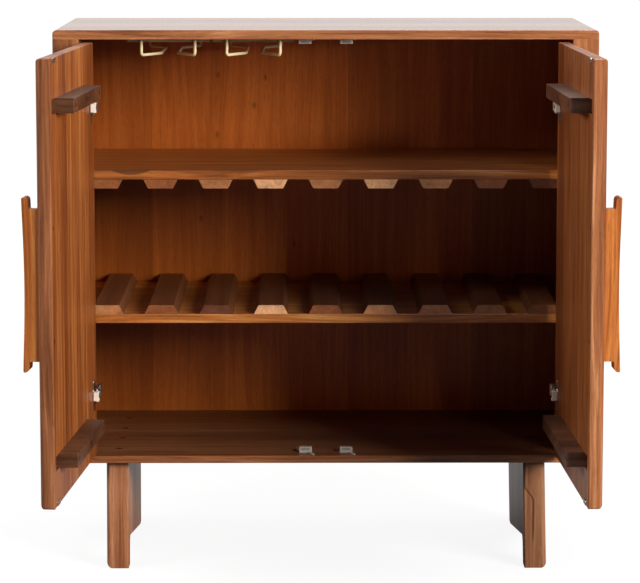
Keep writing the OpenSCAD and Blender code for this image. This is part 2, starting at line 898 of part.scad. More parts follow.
// Closed door as one block, outer edges well rounded, inner edges only eased
module door_blank() {
  translate([door_x0, door_y0, door_z0])
    eased_block(
      [door_width, door_thick, door_z1 - door_z0],
      [door_edge_r, ease_r, ease_r, door_edge_r],
      [3, 3, 3, 3],
      [door_edge_r, door_edge_r, 2, ease_r]
    );
}

// Plan of one board of the door, chamfered where it meets its neighbours
module board_plan(x0, x1) {
  c = board_chamfer;
  polygon([
    [x0, door_y0 + c], [x0 + c, door_y0], [x1 - c, door_y0], [x1, door_y0 + c],
    [x1, door_y1 - c], [x1 - c, door_y1], [x0 + c, door_y1], [x0, door_y1 - c]
  ]);
}

// Sliding dovetail across the door's inner face, from x0 to x1, narrower at its mouth
module dovetail(x0, x1, z, gap = 0) {
  half = batten_height / 2 + gap;
  y0 = door_y1 - groove_depth - gap;
  translate([x0, 0, z]) rotate([90, 0, 90])
    linear_extrude(x1 - x0)
      polygon([
        [y0, -half - groove_flare], [door_y1, -half], [door_y1 + past, -half],
        [door_y1 + past, half], [door_y1, half], [y0, half + groove_flare]
      ]);
}

// One of the four upright boards of a door
module door_board(side, i) {
  color(["#9a5c36", "#87492a", "#a0623a", "#93552f"][i])
    on_door(side)
      difference() {
        intersection() {
          door_blank();
          translate([0, 0, door_z0])
            linear_extrude(door_z1 - door_z0) board_plan(board_lines[i], board_lines[i + 1]);
        }
        for (z = batten_heights)
          dovetail(door_x0 + batten_start(side) - fit_gap, door_x0 + groove_end, z, fit_gap);
        for (z = hinge_heights) {
          translate([cup_x, door_y1 + past, z]) rotate([90, 0, 0])
            cylinder(h = cup_depth + fit_gap + past, d = cup_d + 2 * fit_gap);
          at_cup_screws(z) screw_hole(small_screw_length, small_screw_d);
        }
        at_strike_screws() screw_hole(small_screw_length, small_screw_d);
        at_batten_screws(side) screw_hole(batten_screw_length, door_screw_d);
        at_handle_screws() screw_hole(handle_screw_length, door_screw_d);
      }
}

// Batten held by its dovetail tongue and three screws
module batten(side, z) {
  x0 = door_x0 + batten_start(side);
  x1 = door_x0 + batten_end;
  color("#6e4a38")
    on_door(side)
      difference() {
        union() {
          dovetail(x0, x1, z);
          translate([x0, door_y1, z - batten_height / 2])
            eased_block(
              [x1 - x0, batten_out, batten_height],
              [0, 1.5, 1.5, 0],
              [0, 0, 0, 0],
              [0, 0, 1.5, 1.5]
            );
        }
        at_batten_screws(side) screw_hole(batten_screw_length, door_screw_d);
      }
}

module batten_screws(side) {
  color("#2f2a28")
    on_door(side) at_batten_screws(side) countersunk_screw(batten_screw_length, door_screw_d);
}

// Side view of the handle, X outwards: the bar, and the grip plate with its hollow face and drawn-out tips
module handle_side_outline() {
  out = grip_air + grip_thick;
  half = grip_height / 2;
  steps = 24;
  hollow = [
    for (i = [1:steps - 1])
      [out - grip_hollow * sin(180 * i / steps), half * (2 * i / steps - 1), 0]
  ];
  polygon(rounded_outline(concat(
    [[0, -bar_height / 2, 0], [grip_air, -bar_height / 2, 2], [grip_air + 1, -half, 7], [out, -half, 2]],
    hollow,
    [[out, half, 2], [grip_air + 1, half, 7], [grip_air, bar_height / 2, 2], [0, bar_height / 2, 0]]
  )));
}

// Plan of the handle, Y outwards: the bar at the free edge and the cove behind the grip plate
module handle_plan() {
  out = grip_air + grip_thick;
  polygon(rounded_outline([
    [0, 0, 0],
    [0, out, 3],
    [-grip_width, out, 4],
    [-grip_width, grip_air, 4],
    [-bar_width, grip_air, cove_r],
    [-bar_width, 0, 0]
  ]));
}

module handle(side) {
  color("#b5763c")
    on_door(side)
      difference() {
        translate([handle_x1, door_y0, door_mid_z])
          intersection() {
            translate([-grip_width, 0, 0]) mirror([0, 1, 0]) rotate([90, 0, 90])
              linear_extrude(grip_width) handle_side_outline();
            translate([0, 0, -grip_height / 2]) mirror([0, 1, 0])
              linear_extrude(grip_height) handle_plan();
          }
        at_handle_screws() screw_hole(handle_screw_length, door_screw_d);
      }
}

module handle_screws(side) {
  color("#2f2a28")
    on_door(side) at_handle_screws() countersunk_screw(handle_screw_length, door_screw_d);
}

// Sector between two radii and two angles, as sheet metal bent to an arc
module ring_sector(inner_r, outer_r, from, to) {
  reach = 2 * outer_r;
  rotate(from)
    difference() {
      circle(outer_r, $fn = 144);
      circle(inner_r, $fn = 144);
      translate([-reach, -reach]) square([2 * reach, reach]);
      rotate(to - from) translate([-reach, 0]) square([2 * reach, reach]);
    }
}

// Waisted cap that covers the free side of a cup, its long edges on the door's inner face
module cup_cap() {
  waist = 1.5;
  half = cap_height / 2;
  translate([cap_x0, door_y1, 0]) rotate([90, 0, 90])
    linear_extrude(cap_length)
      polygon(rounded_outline([
        [0, -half + waist, 0],
        [cap_out / 2, -half + waist, 4],
        [cap_out, -half, 1],
        [cap_out - waist, 0, 8],
        [cap_out, half, 1],
        [cap_out / 2, half - waist, 4],
        [0, half - waist, 0]
      ]));
}

// Hinge cups with their flanges and caps, and the strap that rises from each cup's floor over its rim
module hinge_cups(side) {
  wing_width = 14;
  screw_margin = 4.5;
  wing_height = cup_screw_pitch + 2 * screw_margin;
  color("#d9d3c9")
    on_door(side)
      for (z = hinge_heights)
        difference() {
          union() {
            difference() {
              union() {
                translate([cup_x, flange_y, z]) rotate([90, 0, 0])
                  cylinder(h = cup_depth + flange_thick, d = cup_d);
                translate([cup_x, flange_y, z]) rotate([90, 0, 0])
                  cylinder(h = flange_thick, d = cup_d + 3);
                translate([cup_screw_x - wing_width / 2, flange_y, z - wing_height / 2]) rotate([90, 0, 0])
                  linear_extrude(flange_thick)
                    rounded_rectangle(wing_width, wing_height, [6, 6, 6, 6]);
              }
              translate([cup_x, flange_y + past, z]) rotate([90, 0, 0])
                cylinder(h = flange_y + past - cup_floor_y, d = cup_d - 2 * cup_wall);
            }
            translate([0, 0, z]) cup_cap();
            translate([0, 0, z - link_height / 2])
              linear_extrude(link_height)
                ring_sector(strap_r, strap_r + strap_thick, asin((cup_floor_y - 1.2) / strap_r), link_end);
          }
          at_cup_screws(z) screw_hole(small_screw_length, small_screw_d);
        }
}

// Free links: each lies over its strap when the door is closed and bridges to the arm when it is open
module hinge_links(side) {
  color("#d9d3c9")
    on_door(side, link_share)
      for (z = hinge_heights)
        translate([0, 0, z - link_height / 2])
          linear_extrude(link_height)
            ring_sector(link_r, link_r + link_thick, asin((cup_floor_y + running_gap) / link_r), link_end);
}

module door_small_screws(side) {
  color("#cfc8bd")
    on_door(side) {
      for (z = hinge_heights) at_cup_screws(z) countersunk_screw(small_screw_length, small_screw_d);
      at_strike_screws() countersunk_screw(small_screw_length, small_screw_d);
    }
}

module strike_plates(side) {
  color("#c9c4bb")
    on_door(side)
      difference() {
        for (z = strike_heights)
          translate([strike_x - strike_length / 2, door_y1 + strike_thick, z - strike_height / 2])
            rotate([90, 0, 0])
              linear_extrude(strike_thick)
                rounded_rectangle(strike_length, strike_height, [2, 2, 2, 2]);
        at_strike_screws() screw_hole(small_screw_length, small_screw_d);
      }
}

top_board();
bottom_board();
side_panel(LEFT);  // left_side
side_panel(RIGHT);  // right_side
hinge_post(LEFT);  // left_hinge_post
hinge_post(RIGHT);  // right_hinge_post
back_panel();
shelf(upper_shelf_z);  // upper_shelf
ribs(upper_shelf_z, false);  // upper_shelf_ribs
shelf(lower_shelf_z);  // lower_shelf
ribs(lower_shelf_z + shelf_thick, true);  // lower_shelf_ribs
case_dowels();
shelf_dowels();
back_panel_screws();
leg(LEFT);  // left_leg
leg(RIGHT);  // right_leg
leg_screws();
rack_wires(rack_middles[0]);  // left_rack_wires
rack_plates(rack_middles[0]);  // left_rack_plates
rack_wires(rack_middles[1]);  // right_rack_wires
rack_plates(rack_middles[1]);  // right_rack_plates
rack_screws();
catch_housing(LEFT, true);  // upper_left_catch
catch_housing(RIGHT, true);  // upper_right_catch
catch_housing(LEFT, false);  // lower_left_catch
catch_housing(RIGHT, false);  // lower_right_catch
catch_magnets();
catch_screws();
hinge_plates(LEFT);  // left_hinge_plates
hinge_plates(RIGHT);  // right_hinge_plates
hinge_arms(LEFT);  // left_hinge_arms
hinge_arms(RIGHT);  // right_hinge_arms
hinge_links(LEFT);  // left_hinge_links
hinge_links(RIGHT);  // right_hinge_links
hinge_plate_screws();
door_board(LEFT, 0);  // left_door_board_1
door_board(LEFT, 1);  // left_door_board_2
door_board(LEFT, 2);  // left_door_board_3
door_board(LEFT, 3);  // left_door_board_4
batten(LEFT, batten_heights[1]);  // left_upper_batten
batten(LEFT, batten_heights[0]);  // left_lower_batten
batten_screws(LEFT);  // left_batten_screws
handle(LEFT);  // left_handle
handle_screws(LEFT);  // left_handle_screws
hinge_cups(LEFT);  // left_hinge_cups
strike_plates(LEFT);  // left_strike_plates
door_small_screws(LEFT);  // left_small_screws
door_board(RIGHT, 0);  // right_door_board_1
door_board(RIGHT, 1);  // right_door_board_2
door_board(RIGHT, 2);  // right_door_board_3
door_board(RIGHT, 3);  // right_door_board_4
batten(RIGHT, batten_heights[1]);  // right_upper_batten
batten(RIGHT, batten_heights[0]);  // right_lower_batten
batten_screws(RIGHT);  // right_batten_screws
handle(RIGHT);  // right_handle
handle_screws(RIGHT);  // right_handle_screws
hinge_cups(RIGHT);  // right_hinge_cups
strike_plates(RIGHT);  // right_strike_plates
door_small_screws(RIGHT);  // right_small_screws
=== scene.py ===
"""Looks of a two-door buffet cabinet in lacquered hardwood, on two plank legs."""

import math

import bpy
import numpy as np
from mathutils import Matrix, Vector


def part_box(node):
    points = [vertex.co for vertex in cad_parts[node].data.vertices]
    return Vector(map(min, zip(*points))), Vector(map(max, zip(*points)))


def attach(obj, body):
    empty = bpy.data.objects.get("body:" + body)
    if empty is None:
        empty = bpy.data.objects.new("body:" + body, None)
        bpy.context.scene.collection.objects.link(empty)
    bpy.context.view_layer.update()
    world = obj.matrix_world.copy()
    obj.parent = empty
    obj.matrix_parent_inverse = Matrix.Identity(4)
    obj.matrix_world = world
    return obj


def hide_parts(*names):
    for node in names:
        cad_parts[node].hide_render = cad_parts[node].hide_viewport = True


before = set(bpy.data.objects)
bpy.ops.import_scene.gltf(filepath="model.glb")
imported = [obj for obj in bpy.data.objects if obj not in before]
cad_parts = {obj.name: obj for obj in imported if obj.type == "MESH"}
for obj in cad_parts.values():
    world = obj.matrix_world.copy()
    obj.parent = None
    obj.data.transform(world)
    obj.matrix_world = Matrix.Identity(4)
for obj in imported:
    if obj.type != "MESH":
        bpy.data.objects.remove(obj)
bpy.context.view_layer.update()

# Side of each door along X, and its opening at rest in degrees
HAND = {"left": -1, "right": 1}
OPENED = {"left": 94.7, "right": 92.1}


def colour(code):
    """Linear RGBA of an sRGB hex code."""
    srgb = np.array([int(code[i:i + 2], 16) for i in (1, 3, 5)]) / 255.0
    linear = np.where(srgb <= 0.04045, srgb / 12.92, ((srgb + 0.055) / 1.055) ** 2.4)
    return (*linear.tolist(), 1.0)


def add(tree, kind, inputs=(), stops=(), **settings):
    """Adds a node with its settings, and fills its sockets.

    An input is a value, or a node or a node's socket that is linked to it. stops are the positions and
    the hex codes of a colour ramp."""
    made = tree.nodes.new(kind)
    for name, value in settings.items():
        setattr(made, name, value)
    for key, value in dict(inputs).items():
        if isinstance(value, bpy.types.Node):
            value = value.outputs[0]
        if isinstance(value, bpy.types.NodeSocket):
            tree.links.new(value, made.inputs[key])
        else:
            made.inputs[key].default_value = value
    for i, (position, code) in enumerate(stops):
        elements = made.color_ramp.elements
        element = elements[i] if i < 2 else elements.new(position)
        element.position, element.color = position, colour(code)
    return made


def new_material(name, constants=()):
    """A material with its output, and its shader with the given constants."""
    made = bpy.data.materials.new(name)
    made.use_nodes = True
    made.node_tree.nodes.clear()
    shader = add(made.node_tree, "ShaderNodeBsdfPrincipled", constants)
    add(made.node_tree, "ShaderNodeOutputMaterial", {"Surface": shader})
    return made, made.node_tree, shader


# Turns that bring the grain's direction onto the Z axis of the pattern
UPRIGHT = (0.0, 0.0, 0.0)
SIDEWAYS = (0.0, 90.0, 0.0)
BACKWARDS = (90.0, 0.0, 0.0)

# Blender's ring pattern advances by 20 radians a unit
RING_RADIANS = 20.0
# Share of the broad bands in the tone, half the span that the tones cover, and the tones' places in it
BAND_SHARE = 0.9
TONE_SPAN = 0.42
TONE_PLACES = (0.12, 0.4, 0.62, 0.92)
# Tone left in a pore, and height of the streaks against the pores' depth
PORE_SHADE = 0.80
STREAK_RELIEF = 0.4
# How far the roughness of wood and metal strays below and above its mean
SMOOTHER, ROUGHER = 0.05, 0.07

wood_number = 0


def wood(name, tones, grain=UPRIGHT, ring=26.0, figure=0.3, wander=0.05, rough=0.4, coat=0.0,
         marks=None):
    """Oiled and satin-lacquered solid hardwood: calm growth rings cut by the board, streaks and open pores.

    tones are four hex codes from dark latewood to light sapwood, and grain is the turn that brings the
    grain upright. ring is the growth rings' distance in millimetres over two pi, figure their share in
    the tone, and wander the bend of the grain in metres. marks(tree, place, shade) lays something over
    the colour. The tone is rings * figure + streaks + bands * BAND_SHARE."""
    global wood_number
    wood_number += 1
    shift = np.random.default_rng(wood_number).uniform(-1.0, 1.0, 3)
    made, tree, shader = new_material(name, {"Coat Weight": coat, "Coat Roughness": 0.25})
    place = add(tree, "ShaderNodeTexCoord").outputs["Object"]
    turned = add(tree, "ShaderNodeMapping", {
        "Vector": place, "Rotation": [math.radians(v) for v in grain], "Location": shift.tolist()})
    # Slow wander of the grain: bends about 600 mm long and 110 mm across
    slow = add(tree, "ShaderNodeMapping", {"Vector": turned, "Scale": (9.0, 9.0, 1.6)})
    bends = add(tree, "ShaderNodeTexNoise", {"Vector": slow, "Scale": 1.0, "Detail": 2.0})
    bent = add(tree, "ShaderNodeVectorMath", {
        0: bends.outputs["Color"], 1: (wander, wander, 0.0), 2: turned}, operation="MULTIPLY_ADD")
    rings = add(tree, "ShaderNodeTexWave", {
        "Vector": bent, "Scale": 1000.0 / ring / RING_RADIANS, "Distortion": 1.0, "Detail": 3.0,
        "Detail Scale": 2.0}, wave_type="RINGS", rings_direction="Z", wave_profile="SIN").outputs["Fac"]
    # Bands of 12 to 20 mm, as long as a door
    wide = add(tree, "ShaderNodeMapping", {"Vector": bent, "Scale": (62.0, 62.0, 1.5)})
    bands = add(tree, "ShaderNodeTexNoise", {
        "Vector": wide, "Scale": 1.0, "Detail": 2.0, "Roughness": 0.5})
    # Streaks of 3 to 5 mm, drawn out to about 250 mm
    long = add(tree, "ShaderNodeMapping", {"Vector": bent, "Scale": (230.0, 230.0, 4.0)})
    streaks = add(tree, "ShaderNodeTexNoise", {
        "Vector": long, "Scale": 1.0, "Detail": 3.0, "Roughness": 0.6})
    # Pores are 0.3 mm wide; drawn 1.4 mm wide and 15 mm long so that they show
    fine = add(tree, "ShaderNodeMapping", {"Vector": turned, "Scale": (700.0, 700.0, 60.0)})
    pores = add(tree, "ShaderNodeTexNoise", {"Vector": fine, "Scale": 1.0, "Detail": 1.0})
    mixed = add(tree, "ShaderNodeMath", {0: rings, 1: figure, 2: streaks}, operation="MULTIPLY_ADD")
    mixed = add(tree, "ShaderNodeMath", {0: bands, 1: BAND_SHARE, 2: mixed}, operation="MULTIPLY_ADD")
    middle = (figure + 1.0 + BAND_SHARE) / 2
    spread = add(tree, "ShaderNodeMapRange", {0: mixed, 1: middle - TONE_SPAN, 2: middle + TONE_SPAN})
    tone = add(tree, "ShaderNodeValToRGB", {0: spread}, zip(TONE_PLACES, tones))
    pore = add(tree, "ShaderNodeMapRange", {0: pores, 1: 0.32, 2: 0.44, 3: PORE_SHADE, 4: 1.0})
    shaded = add(tree, "ShaderNodeVectorMath", {0: tone, "Scale": pore}, operation="SCALE")
    if marks:
        shaded = marks(tree, place, shaded)
    tree.links.new(shaded.outputs[0], shader.inputs["Base Color"])
    height = add(tree, "ShaderNodeMath", {
        0: streaks, 1: STREAK_RELIEF, 2: pores}, operation="MULTIPLY_ADD")
    bump = add(tree, "ShaderNodeBump", {"Strength": 0.1, "Distance": 0.0005, "Height": height})
    tree.links.new(bump.outputs[0], shader.inputs["Normal"])
    gloss = add(tree, "ShaderNodeMapRange", {
        0: streaks, 1: 0.3, 2: 0.7, 3: rough - SMOOTHER, 4: rough + ROUGHER})
    tree.links.new(gloss.outputs[0], shader.inputs["Roughness"])
    return made


def metal(name, code, rough):
    """Plated steel: one colour, with an unevenness of its gloss about 0.6 mm wide."""
    made, tree, shader = new_material(name, {"Metallic": 1.0, "Base Color": colour(code)})
    place = add(tree, "ShaderNodeTexCoord").outputs["Object"]
    grit = add(tree, "ShaderNodeTexNoise", {"Vector": place, "Scale": 900.0, "Detail": 2.0})
    gloss = add(tree, "ShaderNodeMapRange", {
        0: grit, 1: 0.3, 2: 0.7, 3: rough - SMOOTHER, 4: rough + ROUGHER})
    tree.links.new(gloss.outputs[0], shader.inputs["Roughness"])
    return made


def moulded(name, dark, light, rough):
    """Moulded plastic, pressed ferrite or fired enamel: a mottle of 0.8 mm grit between two hex codes."""
    made, tree, shader = new_material(name, {"Roughness": rough})
    place = add(tree, "ShaderNodeTexCoord").outputs["Object"]
    grit = add(tree, "ShaderNodeTexNoise", {"Vector": place, "Scale": 600.0, "Detail": 2.0})
    mottle = add(tree, "ShaderNodeValToRGB", {0: grit}, [(0.3, dark), (0.7, light)])
    tree.links.new(mottle.outputs[0], shader.inputs["Base Color"])
    return made


# Upright hinge axis of the right door on plan, distance from it to the door's inner face, and height
# over that face at which the cups' caps start
HINGE_X, HINGE_Y = 0.4492, -0.2189
DOOR_FACE = 0.0239
CAP_START = 0.0017
CUP_NICKEL = "#b9aea0"
CAP_CREAM = "#f4e6d4"


def capped_metal(name, side):
    """Nickel-plated hinge cups and flanges with cream moulded caps, on one side's door.

    The height over the door's inner face is the place's dot product with the face's outward
    direction, less that of the face itself."""
    made, tree, shader = new_material(name, {"Roughness": 0.36})
    hand, opened = HAND[side], math.radians(OPENED[side])
    outwards = (-hand * math.sin(opened), math.cos(opened), 0.0)
    face = outwards[0] * hand * HINGE_X + outwards[1] * HINGE_Y + DOOR_FACE
    place = add(tree, "ShaderNodeTexCoord").outputs["Object"]
    height = add(tree, "ShaderNodeVectorMath", {0: place, 1: outwards}, operation="DOT_PRODUCT")
    cap = add(tree, "ShaderNodeMath", {
        0: height.outputs["Value"], 1: face + CAP_START}, operation="GREATER_THAN")
    tint = add(tree, "ShaderNodeMix", {
        "Factor": cap, 6: colour(CUP_NICKEL), 7: colour(CAP_CREAM)}, data_type="RGBA")
    tree.links.new(tint.outputs[2], shader.inputs["Base Color"])
    bare = add(tree, "ShaderNodeMath", {0: 1.0, 1: cap}, operation="SUBTRACT")
    tree.links.new(bare.outputs[0], shader.inputs["Metallic"])
    return made


def rounded(corners, radii, steps=14):
    """Path through corners, with an arc of its radius in each.

    An arc is middle + cos a * (start - middle) - sin a * radius * back, with a from 0 to the turn,
    back the direction to the corner before, and start the arc's first point."""
    corners = np.array(corners)
    path = [corners[:1]]
    for before, corner, after, radius in zip(corners, corners[1:], corners[2:], radii):
        back = (before - corner) / np.linalg.norm(before - corner)
        ahead = (after - corner) / np.linalg.norm(after - corner)
        turn = math.pi - math.acos(back @ ahead)
        start = corner + back * radius * math.tan(turn / 2)
        middle = corner + (back + ahead) / np.linalg.norm(back + ahead) * radius / math.cos(turn / 2)
        a = np.linspace(0.0, turn, steps)[:, None]
        path.append(middle + np.cos(a) * (start - middle) - np.sin(a) * back * radius)
    path.append(corners[-1:])
    return np.concatenate(path)


def wire(path, radius, start, sides=20):
    """Points and faces of a round wire with flat ends, whose points are numbered from start.

    At each place of the path it has the circle place + radius * (cos a * across + sin a * over),
    where across and over are square to the path."""
    along = np.gradient(path, axis=0)
    along /= np.linalg.norm(along, axis=1, keepdims=True)
    across = np.cross(along, (1.0, 0.0, 0.0))
    across /= np.linalg.norm(across, axis=1, keepdims=True)
    over = np.cross(along, across)
    a = np.linspace(0.0, 2 * math.pi, sides, endpoint=False)[None, :, None]
    points = path[:, None] + radius * (np.cos(a) * across[:, None] + np.sin(a) * over[:, None])
    place, side = np.meshgrid(np.arange(len(path) - 1), np.arange(sides), indexing="ij")
    here, there = place * sides, (place + 1) * sides
    after = (side + 1) % sides
    walls = start + np.stack([here + side, here + after, there + after, there + side], axis=-1)
    first = start + np.arange(sides)
    last = first + (len(path) - 1) * sides
    return points.reshape(-1, 3), walls.reshape(-1, 4).tolist() + [first[::-1].tolist(), last.tolist()]


# Wire of the stemware racks, gap between their rails, depth of the rails' flare, and radii of the bends
WIRE_RADIUS = 0.00275
STEM_GAP = 0.025
FLARE = 0.060
FOOT_BEND, RAIL_BEND = 0.006, 0.030


def rack(side, material):
    """The two wires of a stemware rack, as one piece in place of the CAD ones.

    Each comes down, runs inwards to the stem gap, back along it, outwards again and up."""
    low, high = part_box(side + "_rack_wires")
    middle = (low[0] + high[0]) / 2
    half = (high[0] - low[0]) / 2 - WIRE_RADIUS
    front, rear, rail_z = low[1] + WIRE_RADIUS, high[1] - WIRE_RADIUS, low[2] + WIRE_RADIUS
    points, faces = np.empty((0, 3)), []
    for hand in (-1, 1):
        far, near = middle + hand * half, middle + hand * (STEM_GAP / 2 + WIRE_RADIUS)
        path = rounded([
            (far, front, high[2]), (far, front, rail_z), (near, front + FLARE, rail_z),
            (near, rear - FLARE, rail_z), (far, rear, rail_z), (far, rear, high[2])],
            (FOOT_BEND, RAIL_BEND, RAIL_BEND, FOOT_BEND))
        made, walls = wire(path, WIRE_RADIUS, len(points))
        points = np.concatenate([points, made])
        faces += walls
    mesh = bpy.data.meshes.new(side + "_flared_wires")
    mesh.from_pydata(points.tolist(), [], faces)
    mesh.polygons.foreach_set("use_smooth", np.ones(len(faces), dtype=bool))
    mesh.materials.append(material)
    piece = bpy.data.objects.new(side + "_flared_wires", mesh)
    bpy.context.collection.objects.link(piece)
    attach(piece, "case")
    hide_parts(side + "_rack_wires")


def dress(material, *nodes):
    """Gives CAD nodes their finish."""
    for name in nodes:
        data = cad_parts[name].data
        data.materials.clear()
        data.materials.append(material)


# Seams of the back panel's boards, in metres from the middle, the boards' tones, and its pin knots as x, z
SEAMS = (-0.3446, -0.2030, -0.0836, 0.0450, 0.1700, 0.2930, 0.4050)
BOARD_TONES = ("#c8c4c0", "#e6e4e2", "#fafafa", "#ffffff", "#eeecea", "#fafafa", "#e6e4e2", "#f4f4f4")
PIN_KNOTS = (
    (-0.118, 0.894), (-0.212, 0.899), (-0.214, 0.780), (-0.140, 0.838), (-0.247, 0.612), (-0.060, 0.560))
# Tone of a glue line and of a knot's middle, and how much a knot is drawn out along the grain
GLUE_SHADE = 1.14
KNOT_SHADE = 0.55
KNOT_SQUEEZE = 0.6


def panel_marks(tree, place, shade):
    """Each board of the back panel has its own tone, with faint light glue lines between them, and pin
    knots. The boards' ramp runs over the case's width of 1 m, so a place in it is x + 0.5."""
    axes = add(tree, "ShaderNodeSeparateXYZ", {0: place})
    across = add(tree, "ShaderNodeMapRange", {0: axes.outputs["X"], 1: -0.5, 2: 0.5})
    board = add(tree, "ShaderNodeValToRGB", {0: across}, [
        (seam + 0.5, tone) for seam, tone in zip((-0.5, *SEAMS), BOARD_TONES)])
    board.color_ramp.interpolation = "CONSTANT"
    shade = add(tree, "ShaderNodeVectorMath", {0: shade, 1: board}, operation="MULTIPLY")
    for seam in SEAMS:
        away = add(tree, "ShaderNodeMath", {0: axes.outputs["X"], 1: seam}, operation="SUBTRACT")
        away = add(tree, "ShaderNodeMath", {0: away}, operation="ABSOLUTE")
        line = add(tree, "ShaderNodeMapRange", {0: away, 1: 0.0008, 2: 0.0030, 3: GLUE_SHADE, 4: 1.0})
        shade = add(tree, "ShaderNodeVectorMath", {0: shade, "Scale": line}, operation="SCALE")
    flat = add(tree, "ShaderNodeVectorMath", {0: place, 1: (1.0, 0.0, KNOT_SQUEEZE)}, operation="MULTIPLY")
    for x, z in PIN_KNOTS:
        away = add(tree, "ShaderNodeVectorMath", {
            0: flat, 1: (x, 0.0, z * KNOT_SQUEEZE)}, operation="DISTANCE")
        knot = add(tree, "ShaderNodeMapRange", {
            0: away.outputs["Value"], 1: 0.0012, 2: 0.0055, 3: KNOT_SHADE, 4: 1.0})
        shade = add(tree, "ShaderNodeVectorMath", {0: shade, "Scale": knot}, operation="SCALE")
    return shade


# Distance from rib to rib, and place of the ribs' front ends
RIB_PITCH = 0.1018
RIB_FRONT = -0.1940
# The sticks of the ribs are cut from woods of five tones, told by their initials: dark, brown, tan,
# light and pale. Their bodies are stained alike, and their grain's greys are raised to these tones.
# The ends' tones are partly the sticks' own and partly painted shade, darker where an end lies in shadow.
STICK_TONES = {"d": "#683a26", "b": "#8f532f", "t": "#a86e44", "l": "#d09060", "p": "#e2a878"}
STICK_BODY = "#704328"
STICK_GAIN = 4.4


def rib_tone_and_painted_shade_marks(ends):
    """Each rib is a stick of its own, whose sawn front end has a tone that is partly its own and partly
    painted shade.

    ends are the initials of these tones, from left to right."""
    def marks(tree, place, shade):
        axes = add(tree, "ShaderNodeSeparateXYZ", {0: place})
        across = add(tree, "ShaderNodeMapRange", {
            0: axes.outputs["X"], 1: -len(ends) / 2 * RIB_PITCH, 2: len(ends) / 2 * RIB_PITCH})
        tint = add(tree, "ShaderNodeValToRGB", {0: across}, [
            (i / len(ends), STICK_TONES[tone]) for i, tone in enumerate(ends)])
        tint.color_ramp.interpolation = "CONSTANT"
        end = add(tree, "ShaderNodeMath", {
            0: axes.outputs["Y"], 1: RIB_FRONT + 0.0004}, operation="LESS_THAN")
        tint = add(tree, "ShaderNodeMix", {
            "Factor": end, 6: colour(STICK_BODY), 7: tint}, data_type="RGBA").outputs[2]
        tint = add(tree, "ShaderNodeVectorMath", {0: shade, 1: tint}, operation="MULTIPLY")
        return add(tree, "ShaderNodeVectorMath", {0: tint, "Scale": STICK_GAIN}, operation="SCALE")
    return marks


# The bottom board's front edge ends between these two places; factors of the tone that paint light on the
# edge and shade on the faces
EDGE_FRONT, EDGE_BACK = -0.2190, -0.2175
EDGE_PAINTED_LIGHT, FACE_PAINTED_SHADE = 1.1, 0.55


def painted_shade_face_marks(tree, place, shade):
    """Painted light and shade: the board's faces behind its front edge are drawn darker, as the top lies in
    the doors' shadow, and the edge a little lighter.
    """
    axes = add(tree, "ShaderNodeSeparateXYZ", {0: place})
    kept = add(tree, "ShaderNodeMapRange", {
        0: axes.outputs["Y"], 1: EDGE_FRONT, 2: EDGE_BACK, 3: EDGE_PAINTED_LIGHT, 4: FACE_PAINTED_SHADE})
    return add(tree, "ShaderNodeVectorMath", {0: shade, "Scale": kept}, operation="SCALE")


# What lies further forward than this is a door's free edge, as the doors stand open, and the tint of the
# painted sheen on it
FREE_EDGE = -0.6615
FREE_EDGE_PAINTED_SHEEN = (1.16, 1.46, 2.4, 1.0)


def door_edge_painted_sheen_marks(tree, place, shade):
    """Painted sheen: the free edge of a door is drawn paler and greyer than its faces, standing for the
    glossy reflection on it.
    """
    axes = add(tree, "ShaderNodeSeparateXYZ", {0: place})
    edge = add(tree, "ShaderNodeMath", {0: axes.outputs["Y"], 1: FREE_EDGE}, operation="LESS_THAN")
    tint = add(tree, "ShaderNodeMix", {
        "Factor": edge, 6: (1.0, 1.0, 1.0, 1.0), 7: FREE_EDGE_PAINTED_SHEEN}, data_type="RGBA").outputs[2]
    return add(tree, "ShaderNodeVectorMath", {0: shade, 1: tint}, operation="MULTIPLY")


# Natural edge on the upper shelf's front: its ends along X, its depth below the shelf's top, where the
# front ends, and the share of the tone that it takes away
WANE_FROM, WANE_TO = -0.396, -0.324
WANE_DEPTH = 0.0085
SHELF_TOP = 0.7515
SHELF_FRONT = -0.186
WANE_LOSS = 0.62


def wane_marks(tree, place, shade):
    """Natural edge left on the upper shelf: a dark shallow bow in its front's upper corner.

    The bow's lower edge is SHELF_TOP + WANE_DEPTH * (u * u - 1), with u from -1 to 1 along it."""
    axes = add(tree, "ShaderNodeSeparateXYZ", {0: place})
    along = add(tree, "ShaderNodeMapRange", {
        0: axes.outputs["X"], 1: WANE_FROM, 2: WANE_TO, 3: -1.0, 4: 1.0})
    bow = add(tree, "ShaderNodeMath", {0: along, 1: along, 2: -1.0}, operation="MULTIPLY_ADD")
    edge = add(tree, "ShaderNodeMath", {0: bow, 1: WANE_DEPTH, 2: SHELF_TOP}, operation="MULTIPLY_ADD")
    over = add(tree, "ShaderNodeMath", {0: axes.outputs["Z"], 1: edge}, operation="SUBTRACT")
    front = add(tree, "ShaderNodeMath", {0: axes.outputs["Y"], 1: SHELF_FRONT}, operation="LESS_THAN")
    kept = add(tree, "ShaderNodeMapRange", {0: over, 1: -0.0006, 2: 0.0008, 3: 0.0, 4: -WANE_LOSS})
    kept = add(tree, "ShaderNodeMath", {0: kept, 1: front, 2: 1.0}, operation="MULTIPLY_ADD")
    return add(tree, "ShaderNodeVectorMath", {0: shade, "Scale": kept}, operation="SCALE")


# Shake in the right leg: place of its straight part, heights between which it swings in and by how
# much, heights over which it fades out downwards, and its tone
SHAKE_X = 0.3895
SWING_FROM, SWING_TO, SWING = 0.128, 0.160, 0.0170
FADE_FROM, FADE_TO = 0.045, 0.085
SHAKE_SHADE = 0.30


